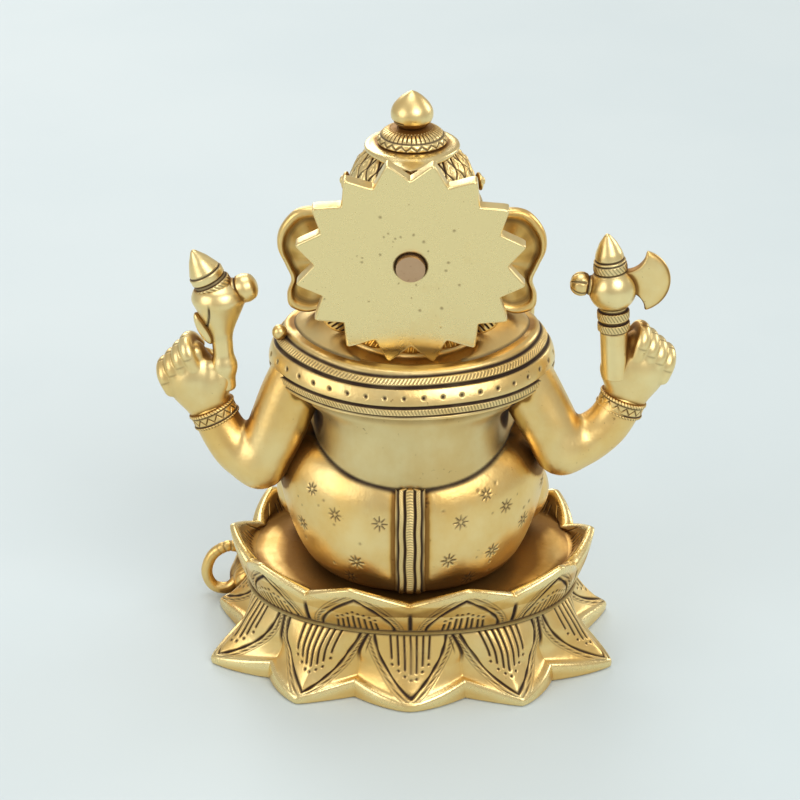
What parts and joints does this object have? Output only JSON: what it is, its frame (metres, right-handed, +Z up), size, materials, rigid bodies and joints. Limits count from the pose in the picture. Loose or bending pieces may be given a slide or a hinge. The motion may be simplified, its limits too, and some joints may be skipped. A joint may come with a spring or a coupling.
{
  "type": "deity statuette",
  "caption": "Cast brass statuette of a seated elephant-headed deity on a double lotus, with a star-edged halo disc that turns on its pin.",
  "frame": {"origin": "middle of the lotus base, on the surface it stands on", "axes": "+Z up, the figure faces -Y, and +X is towards the figure's left hand"},
  "size_m": [0.1796, 0.104, 0.2115],
  "materials": {
    "cast_brass": "satin polished casting with brown patina in the creases",
    "polished_brass": "pale, buffed, faintly brushed",
    "engraved_brass": "satin with darkened engraved lines",
    "rivet_brass": "bare sawn end of a pin",
    "fastener_steel": "dull zinc plated"
  },
  "bodies": {
    "idol": {"lower_lotus": "cast_brass", "upper_lotus": "cast_brass", "base_bolt": "fastener_steel", "base_washer": "fastener_steel", "lower_body": "cast_brass", "back_pleat": "engraved_brass", "left_leg": "cast_brass", "right_leg": "cast_brass", "torso": "cast_brass", "shawl": "engraved_brass", "head": "cast_brass", "trunk": "cast_brass", "left_tusk": "polished_brass", "right_tusk": "polished_brass", "left_ear": "cast_brass", "right_ear": "cast_brass", "crown": "engraved_brass", "crown_collar": "engraved_brass", "crown_finial": "polished_brass", "nape_hair": "engraved_brass", "halo_pin": "rivet_brass", "halo_spacer": "cast_brass", "rear_arm_left": "cast_brass", "rear_arm_right": "cast_brass", "rear_bracelet_left": "engraved_brass", "rear_bracelet_right": "engraved_brass", "rear_hand_left": "cast_brass", "rear_hand_right": "cast_brass", "goad": "polished_brass", "axe": "polished_brass", "front_arm_left": "cast_brass", "front_arm_right": "cast_brass", "front_bracelet_left": "engraved_brass", "front_bracelet_right": "engraved_brass", "front_hand_left": "cast_brass", "front_hand_right": "cast_brass", "sweet": "polished_brass", "mouse": "cast_brass", "mouse_tail": "cast_brass"},
    "halo": {"halo_disc": "polished_brass"}
  },
  "joints": [
    {"name": "halo_turn", "type": "hinge", "parent": "idol", "child": "halo", "pos_m": [0, 0.024, 0.16], "axis": [0, 0.9903, -0.1392], "continuous": true}
  ]
}
